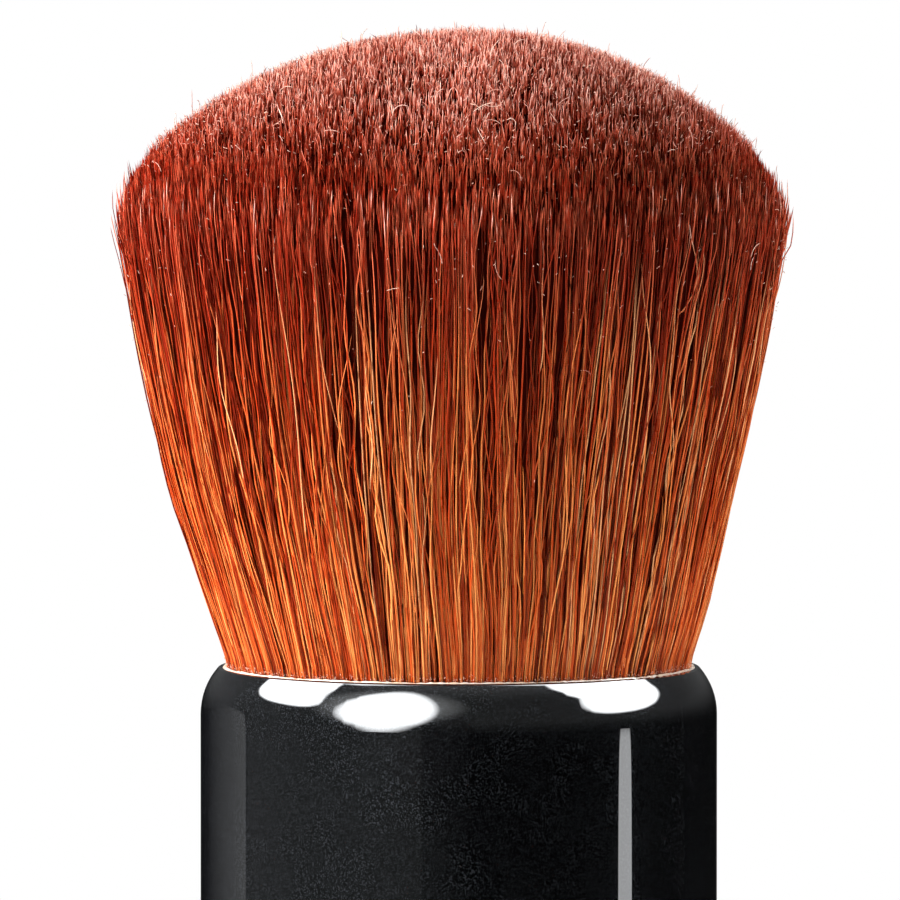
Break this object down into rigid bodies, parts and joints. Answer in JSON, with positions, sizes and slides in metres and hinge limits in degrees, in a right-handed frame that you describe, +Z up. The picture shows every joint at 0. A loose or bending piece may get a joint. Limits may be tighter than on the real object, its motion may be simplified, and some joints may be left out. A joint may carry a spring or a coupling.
{
  "type": "kabuki makeup brush",
  "caption": "Short kabuki brush: a glossy black cylindrical handle with a round shoulder and thin lip, and a dense flared tuft with a rounded crown for loose powder.",
  "frame": {"origin": "middle of the foot, on the plane that the brush stands on", "axes": "+Z up the brush's axis from the foot to the crown of the tuft; the brush is round about it"},
  "size_m": [0.0414, 0.0414, 0.0715],
  "materials": {
    "black_lacquer": "gloss black lacquer with a very fine speckle",
    "cap_plastic": "satin black",
    "core_plastic": "as moulded",
    "weight_steel": "turned",
    "cup_aluminium": "pressed, plain",
    "cured_epoxy": "cured resin",
    "binding_thread": "waxed thread",
    "clear_glue": "clear glue over pale roots",
    "brown_filament": "fine synthetic filaments, orange brown at the root, dark red brown above, pale pink brown at the tips"
  },
  "bodies": {
    "root": {"handle_shell": "black_lacquer", "base_cap": "cap_plastic", "inner_core": "core_plastic", "weight_slug": "weight_steel", "bristle_cup": "cup_aluminium", "epoxy_potting": "cured_epoxy", "root_binding": "binding_thread", "rim_glue_bead": "clear_glue", "filament_tuft": "brown_filament"}
  },
  "joints": []
}
